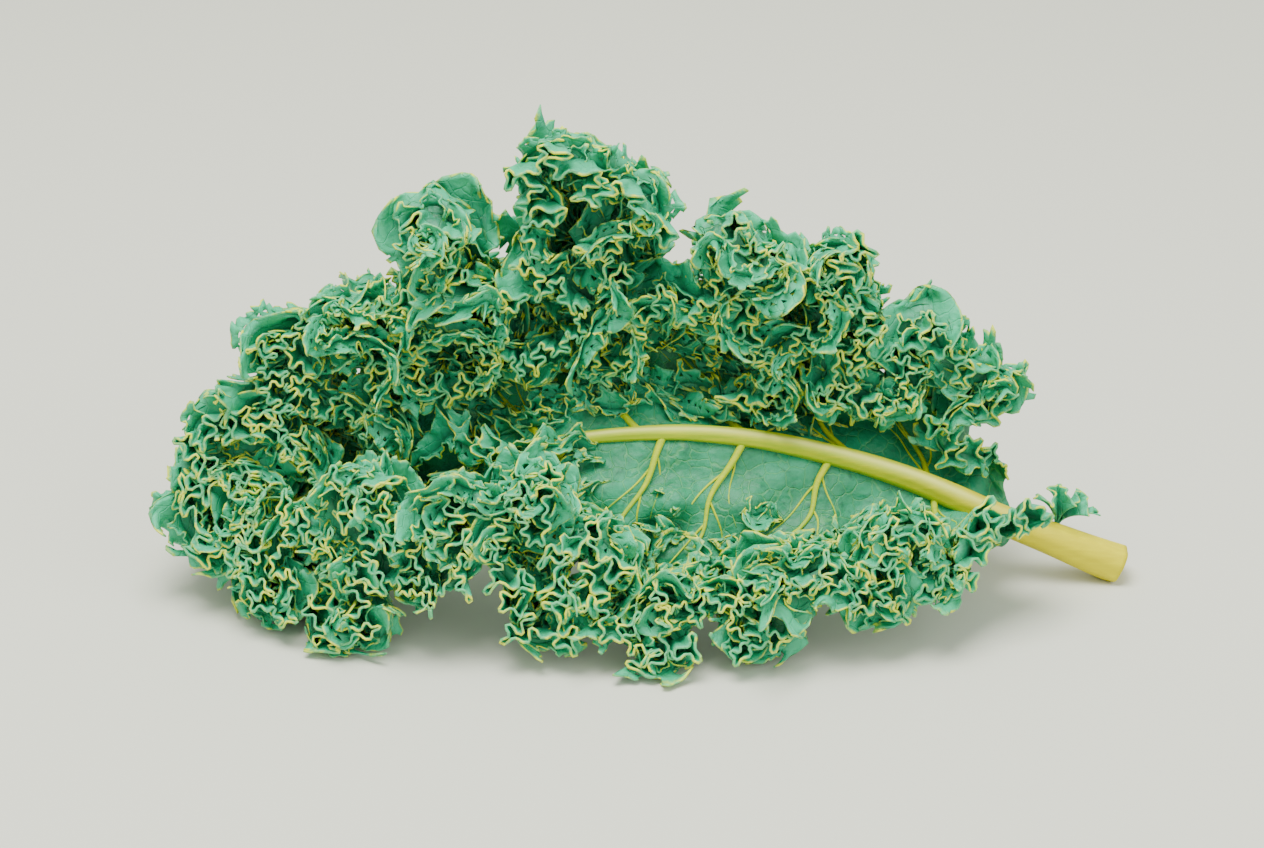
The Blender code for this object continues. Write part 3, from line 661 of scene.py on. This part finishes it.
def curlStrip(grid, strip, look):
    # P(x,r) = row(x') + height * r * way(x') + ruffle * out(x'), x' = x + the ruffle's shift along the row
    rules = curlRules
    t, points, s = grid
    tRow, sLow, sHigh, side, height, seed = strip[:6]
    lean = strip[6] if len(strip) > 6 else look["lean"]
    r = int(np.argmin(np.abs(t - tRow)))
    r = min(max(r, 1), len(t) - 2)
    inside = np.nonzero((s[r] >= sLow) & (s[r] <= sHigh))[0]
    cut = slice(inside[0], inside[-1] + 1)
    row = points[r, cut]
    out = unit(points[r + 1, cut] - points[r - 1, cut])
    run = np.concatenate([[0], np.cumsum(np.linalg.norm(np.diff(row, axis=0), axis=1))])
    total = run[-1]
    stretch = 1.0
    for level in look["levels"][:-1]:
        stretch /= bessel(level[1])
    teeth = total * stretch / (look["levels"][-1][0] * mm)
    stride = look["rows"][0][1]
    columns = int(np.ceil(teeth * look["columnsPerTooth"] / stride)) * stride
    levels = [(*level[:4], seed * 10 + level[4]) for level in look["levels"]]
    samples = rules["samples"]
    even = np.linspace(0, total, samples)
    window = rules["window"] / total * samples
    lineOf = [runningMean(np.interp(even, run, row[:, k]), window * rules["lineShare"]) for k in range(3)]
    outOf = [runningMean(np.interp(even, run, out[:, k]), window) for k in range(3)]
    line, out = np.stack(lineOf, 1), unit(np.stack(outOf, 1))
    normal = unit(np.cross(np.gradient(line, axis=0), out)) * side

    def along(key):
        # the look's swing, scallop, cuts or teeth as a random curve along the strip
        knots = max(rules["leastKnots"], round(total / (look[key + "Width"] * mm)))
        return look[key] * smoothNoise(even / total, knots, seed + rules["seeds"][key])

    way = unit(normal + (lean + along("swing"))[:, None] * out)
    tall = height * mm * (1 - look["scallop"] + along("scallop"))
    jagged = along("cuts") + along("teeth")
    fade = np.minimum(even, total - even) / min(rules["fade"], rules["fadeShare"] * total)
    fade = np.clip(fade, rules["fadeLeast"], 1)
    tall = tall * fade

    def surface(rows, levels, columns):
        # the strip's points on the given rows, and how tall it is there
        each = rules["finePerColumn"]
        fine = columns * each
        x = np.linspace(0, total, fine + 1)
        ruffle = meander(np.broadcast_to(x + 0j, (len(rows), fine + 1)), total, rows, levels, fine)[:, ::each]
        place = np.clip(x[None, ::each] + ruffle.real, 0, total)

        def at(values):
            return np.interp(place.ravel(), even, values).reshape(place.shape)

        def vectors(values):
            return np.stack([at(values[:, k]) for k in range(3)], -1)

        tallHere = at(tall) * (1 + at(jagged) * rows[:, None] ** 2)
        raised = (rows[:, None] * (1 + rules["sunk"]) - rules["sunk"]) * tallHere
        return (vectors(line) + vectors(way) * raised[..., None]
                + vectors(out) * (ruffle.imag * at(fade))[..., None]), tallHere

    rows = np.array([item[0] for item in look["rows"]])
    found, tallHere = surface(rows, levels, columns)
    strides = [item[1] for item in look["rows"]]
    middle = np.concatenate([found[i, ::stride] for i, stride in enumerate(strides)])
    across = np.concatenate([np.full(columns // stride + 1, rows[i]) for i, stride in enumerate(strides)])
    triangles = gridTriangles(strides, columns)
    edge = np.concatenate([((1 - rows[i]) * tallHere[i] / mm)[::stride] for i, stride in enumerate(strides)])
    both, faces = closedSheet(onTable(middle), triangles, look["halfThickness"])
    made = [(both, faces, np.tile(across, 2), np.tile(edge, 2))]
    for number, share in enumerate(look.get("stands", ())):
        # the small curls stand on alternate sides of the strip's own first ruffles
        ends, around = smallCurlLook["ends"], smallCurlLook["around"]
        near = np.array([share - around, share, share + around])
        carrier = surface(near, levels[:1], columns)[0]
        carrier = (near, carrier, np.tile(np.linspace(-1, 1, columns + 1), (3, 1)))
        small = (share, -ends, ends, 1 - 2 * number, smallCurlLook["height"], seed * 4 + number)
        made += curlStrip(carrier, small, smallCurlLook)
    return made


def joined(made):
    # several meshes as one: their points in a row, and each one's triangles counted on from the last
    offsets = np.concatenate([[0], np.cumsum([len(item[0]) for item in made])])
    points = np.concatenate([item[0] for item in made])
    return points, np.concatenate([item[1] + offset for item, offset in zip(made, offsets)])


def makeCurls(grid):
    # strip after strip, in as many pieces as the limit of triangles asks for
    made, total, number = [], 0, 1
    for strip in curlLook["strips"]:
        for new in curlStrip(grid, strip, curlLook):
            if made and total + len(new[1]) > curlRules["mostTriangles"]:
                joinCurls(made, number)
                made, total, number = [], 0, number + 1
            made.append(new)
            total += len(new[1])
    joinCurls(made, number)


def joinCurls(made, number):
    # a strip's foot has across = curlFrom and its edge has 1
    points, faces = joined(made)
    start = bladeLook["curlFrom"]
    values = {"across": start + (1 - start) * np.concatenate([item[2] for item in made]),
              "edge": np.concatenate([item[3] for item in made])}
    makePiece("bladeCurls" + str(number), points, faces, values, "blade", kaleBlade)


# Stalk, midrib and side veins

stalkLook = {
    "stalk": (0.62, 0.54, 0.0, 1.0),
    "stalkLight": (0.74, 0.67, 0.0, 1.0),
    "midrib": (0.44, 0.56, 0.010, 1.0),
    # painted highlight: pale cream on the front of the midrib, the side facing up and towards the camera
    "ribHighlight": (0.84, 0.84, 0.22, 1.0),
    "veinTip": (0.17, 0.44, 0.08, 1.0),
    "roughness": 0.34, "specular": 0.20, "subsurface": 0.04, "glow": (0.8, 0.8, 0.1),
    "streakScale": 900.0, "streakStretch": (0.12, 1.0, 1.0),    # streaks are long in X
    "streakShare": 0.45, "ribHighlightShare": 0.75,
    "bump": 0.4 * mm, "bumpStrength": 0.25,
    "rings": 200, "sides": 48, "end": 0.93,
    "lumps": [(0.05, 2, 0.4), (0.03, 5, 1.0), (0.015, 9, 0.0)],     # depth, count round the stalk, turn
    "wave": (0.02, 60, 3),          # depth, pace along the stalk, count round it
    "ribHighlightWidth": 0.35,             # radians, width of the painted highlight round the midrib
    "butt": 0.25,                   # how far the end's middle is drawn in
}


def stalkMaterial(look):
    # along is 0 at the cut end, 1 at the midrib's and the veins' tips, and the third value is 1 on the midrib's
    # front, where it paints a pale highlight
    shop = Shop("kaleStalk", look["roughness"], look["specular"], look["subsurface"], look["glow"])
    along = shop.attribute("along")
    ribHighlight = shop.attribute("ribHighlight")
    stretched = shop.node("ShaderNodeVectorMath", {"operation": "MULTIPLY"},
                          {0: shop.place(), 1: look["streakStretch"]})
    streaks = shop.noise(stretched, look["streakScale"])
    colour = shop.mix(shop.step(along, 0.10, 0.34), look["stalk"], look["midrib"])
    colour = shop.mix(shop.step(along, 0.55, 0.95), colour, look["veinTip"])
    colour = shop.mix(shop.step(streaks, 0.40, 0.72) * look["streakShare"], colour, look["stalkLight"])
    # painted highlight along the midrib's front, none near the cut end
    colour = shop.mix(ribHighlight * shop.step(along, 0.06, 0.22) * look["ribHighlightShare"], colour, look["ribHighlight"])
    shop.feed("Base Color", colour)
    shop.feed("Roughness", look["roughness"] + streaks * 0.25)
    shop.bump(streaks, look["bumpStrength"], look["bump"])
    return shop.material


def tube(path, radii, sides, shape=None):
    # P(i,a) = path(i) + radius(i) * shape(i,a) * (cos a * side + sin a * other), and a point closes each end
    along = unit(np.gradient(path, axis=0))
    front = -np.array(leafShape["back"])
    side = unit(front - (along @ front)[:, None] * along)
    other = np.cross(along, side)
    angle = np.linspace(0, 2 * np.pi, sides, endpoint=False)
    shape = np.ones((len(path), sides)) if shape is None else shape
    ring = np.cos(angle)[None, :, None] * side[:, None] + np.sin(angle)[None, :, None] * other[:, None]
    points = path[:, None] + (radii[:, None] * shape)[..., None] * ring
    count = len(path)
    i, k = np.meshgrid(np.arange(count - 1), np.arange(sides), indexing="ij")
    a, b = (i * sides + k).ravel(), (i * sides + (k + 1) % sides).ravel()
    ends = np.arange(sides)
    last = (count - 1) * sides
    triangles = np.concatenate([
        np.stack([a, b, b + sides], 1), np.stack([a, b + sides, a + sides], 1),
        np.stack([(ends + 1) % sides, ends, np.full(sides, count * sides)], 1),
        np.stack([last + ends, last + (ends + 1) % sides, np.full(sides, count * sides + 1)], 1),
    ])
    caps = np.stack([points[0].mean(axis=0), points[-1].mean(axis=0)])
    around = np.concatenate([np.tile(angle, count), [0, 0]])
    return np.concatenate([points.reshape(-1, 3), caps]), triangles, around


veinLook = {
    # s where the vein leaves the midrib, t where it ends
    "main": [(-0.91, 0.60), (-0.79, 0.66), (-0.69, 0.66), (-0.60, 0.62), (-0.48, 0.5), (-0.36, 0.42),
             (0.905, 0.44), (0.81, 0.44), (0.70, 0.46), (0.57, 0.46), (0.45, 0.42), (0.33, 0.4)],
    "startRadius": 1.30, "endRadius": 0.14,     # mm
    "rings": 40, "sides": 10,
    "start": 0.02,                  # t where it starts
    # branches of every main vein: t where it starts, t where it ends, how far it swings in s
    "branches": [(0.10, 0.40, 0.040), (0.20, 0.50, -0.042), (0.29, 0.58, 0.036), (0.37, 0.62, -0.034),
                 (0.45, 0.66, 0.028), (0.06, 0.30, -0.034)],
    "branchRadius": 0.42, "taper": 0.5, "swingPower": 0.8,
    "before": 0.1, "beyond": 0.12,  # a branch starts this far before its vein's end, and ends this far past it
    "sway": (0.004, 22, 40),        # width in s, pace along t, shift from vein to vein
    "stand": 0.75, "clear": 0.05 * mm,          # the tube's middle above the sheet, in radii, and more
    "rootShare": 0.10,              # how much of a main vein bends in to the midrib's middle
}


def onSheet(grid, sPath, tPath):
    # bilinear look-up of the folded sheet and its underside normal at s(t), t
    t, points, s = grid
    rowOf = np.interp(tPath, t, np.arange(len(t)))
    low = np.minimum(rowOf.astype(int), len(t) - 2)
    columns = np.arange(points.shape[1])
    found, normals = [], []
    for offset in (0, 1):
        r = low + offset
        c = np.array([np.interp(sPath[i], s[r[i]], columns) for i in range(len(r))])
        c0 = np.clip(c.astype(int), 4, len(columns) - 6)
        f = (c - c0)[:, None]
        found.append(points[r, c0] * (1 - f) + points[r, c0 + 1] * f)
        down = np.minimum(r + 1, len(t) - 1)
        normals.append(unit(np.cross(points[r, c0 + 4] - points[r, c0 - 4],
                                     points[down, c0] - points[down - 2, c0])))
    mix = (rowOf - low)[:, None]
    return found[0] * (1 - mix) + found[1] * mix, unit(normals[0] * (1 - mix) + normals[1] * mix)


def veinTube(grid, sPath, tPath, startRadius, endRadius, look, fromRib):
    # a thin tube on the sheet's underside; its radius falls as start + (end - start) * w**taper
    w = np.linspace(0, 1, len(tPath))
    radii = (startRadius + (endRadius - startRadius) * w ** look["taper"]) * mm
    path, normal = onSheet(grid, sPath, tPath)
    path = path + normal * (radii * look["stand"] + look["clear"] + blisters(path, tPath, sPath))[:, None]
    if fromRib:
        root = keyed(leafShape["rib"], ribShare(sPath[:1])) * mm
        blend = np.clip(1 - w / look["rootShare"], 0, 1)[:, None] ** 2
        path = path * (1 - blend) + root * blend
    for axis in range(3):
        path[1:-1, axis] = runningMean(path[:, axis], 3)[1:-1]
    return tube(path, radii, look["sides"])


def makeVeins(grid, look):
    # s = root + sway * sin(pace * t + shift * root), and a branch swings away from it as swing * w**swingPower
    sway, pace, shift = look["sway"]
    made = []
    for sRoot, tEnd in look["main"]:
        tPath = np.linspace(look["start"], tEnd, look["rings"])
        sPath = sRoot + sway * np.sin(tPath * pace + sRoot * shift)
        made.append(veinTube(grid, sPath, tPath, look["startRadius"], look["endRadius"], look, True))
        for tFrom, tTo, swing in look["branches"]:
            if tFrom > tEnd - look["before"]:
                continue
            tBranch = np.linspace(tFrom, min(tTo, tEnd + look["beyond"]), look["rings"] // 2)
            w = (tBranch - tFrom) / (tBranch[-1] - tFrom)
            sBranch = sRoot + sway * np.sin(tBranch * pace + sRoot * shift) + swing * w ** look["swingPower"]
            made.append(veinTube(grid, sBranch, tBranch, look["branchRadius"], look["endRadius"], look, False))
    return made


def makeStalk(grid):
    # radius * (1 + lumps round the stalk + a wave along and round it), then the veins as one piece
    look = stalkLook
    share = np.linspace(0, look["end"], look["rings"])
    path, radii = keyed(leafShape["rib"], share) * mm, keyed(leafShape["ribRadius"], share) * mm
    angle = np.linspace(0, 2 * np.pi, look["sides"], endpoint=False)
    lumps = sum(depth * np.cos(count * angle + turn) for depth, count, turn in look["lumps"])
    depth, pace, count = look["wave"]
    shape = 1 + lumps[None] + depth * np.sin(share * pace)[:, None] * np.cos(count * angle)[None]
    points, faces, around = tube(path, radii, look["sides"], shape)
    along = np.concatenate([np.repeat(share, look["sides"]), [0, look["end"]]])
    # painted highlight: 1 on the tube's front side, falling off round it; the veins get none
    ribHighlight = np.exp(-((np.minimum(around, 2 * np.pi - around) / look["ribHighlightWidth"]) ** 2))
    points[-2] -= (points[-2] - path[1]) * look["butt"]
    values = {"along": along, "ribHighlight": ribHighlight}
    makePiece("stalkRib", onTable(points, 0.5 * mm, 0.0), faces, values, "stalk", kaleStalk)
    veins = makeVeins(grid, veinLook)
    points, faces = joined(veins)
    tips = []
    for vein in veins:
        rings = (len(vein[0]) - 2) // veinLook["sides"]
        tips.append(np.concatenate([np.repeat(np.linspace(0, 1, rings), veinLook["sides"]), [0, 1]]))
    values = {"along": 0.5 + 0.5 * np.concatenate(tips), "ribHighlight": np.zeros(len(points))}
    makePiece("stalkVeins", points, faces, values, "stalk", kaleStalk)


# Leaflet that grows on the stalk

leafletLook = {
    "share": 0.075, "direction": (0.30, 0.30, 0.90), "sideways": (0.85, 0.20, -0.50),
    "length": 13.5, "start": 2.2, "spread": 0.95,   # mm, mm, radians to each side
    "sunk": 0.6 * mm,               # how far its foot is in the stalk
    "levels": [(7.5, 1.35, 0.10, 1.2, 31), (2.8, 1.2, 0.45, 1.2, 32)],
    "rows": 16, "rowPower": 0.8, "columns": 384, "finePerColumn": 3,
    "footShare": 0.25,              # how wide its foot opens, as a share of its edge's angle
    "lobes": 3, "lobeDepth": 0.30, "curve": 2.5 * mm, "halfThickness": 0.22 * mm,
    "acrossFrom": 0.6,              # where in the blade's colours its foot starts
}


def makeLeaflet():
    # P(r,x) = centre + length(r,x) * (cos a ahead + sin a aside) + (ruffle + curve * r**2) * normal
    # where a = place along the edge / length, and is less towards the foot
    look = leafletLook
    ahead = unit(np.array(look["direction"]))
    aside = np.array(look["sideways"])
    aside = unit(aside - (aside @ ahead) * ahead)
    normal = np.cross(aside, ahead)
    share = np.array(look["share"])
    clear = keyed(leafShape["ribRadius"], share) * mm - look["sunk"]
    behind = look["start"] * mm * math.cos(look["spread"] / 2)
    centre = keyed(leafShape["rib"], share) * mm + ahead * (clear - behind)
    run = 2 * look["spread"] * look["length"] * mm
    each = look["finePerColumn"]
    fine = look["columns"] * each
    x = np.linspace(-run / 2, run / 2, fine + 1)
    rows = np.linspace(0, 1, look["rows"]) ** look["rowPower"]
    ruffle = meander(np.broadcast_to(x + 0j, (len(rows), fine + 1)), run, rows, look["levels"], fine)[:, ::each]
    x = x[::each]
    opening = look["footShare"] + (1 - look["footShare"]) * rows[:, None]
    a = (x[None] + ruffle.real) / (look["length"] * mm) * opening
    lobe = 0.5 - 0.5 * np.cos(2 * np.pi * look["lobes"] * (x / run + 0.5))
    lobe = 1 - look["lobeDepth"] * lobe[None] ** 2
    length = (look["start"] + (look["length"] * lobe - look["start"]) * rows[:, None]) * mm
    points = (centre + (length * np.cos(a))[..., None] * ahead + (length * np.sin(a))[..., None] * aside
              + (ruffle.imag + look["curve"] * rows[:, None] ** 2)[..., None] * normal)
    triangles = gridTriangles([1] * look["rows"], look["columns"])
    across = np.repeat(rows, look["columns"] + 1)
    both, faces = closedSheet(points.reshape(-1, 3), triangles, look["halfThickness"])
    start = look["acrossFrom"]
    values = {"across": np.tile(start + (1 - start) * across, 2),
              "edge": np.tile((1 - across) * look["length"], 2)}
    makePiece("stalkLeaflet", both, faces, values, "stalk_leaflet", kaleBlade)


makeCamera(studio)
kaleBlade = bladeMaterial(bladeLook)
kaleStalk = stalkMaterial(stalkLook)
print("camera and materials made")
makeBlade()
leafGrid = baseGrid(baseSheet)
makeCurls(leafGrid)
makeStalk(leafGrid)
makeLeaflet()
makeFloor(studio)
makeSky(studio)
for lamp in studio["lamps"]:
    makeLamp(*lamp)
print("floor, sky and lamps made")
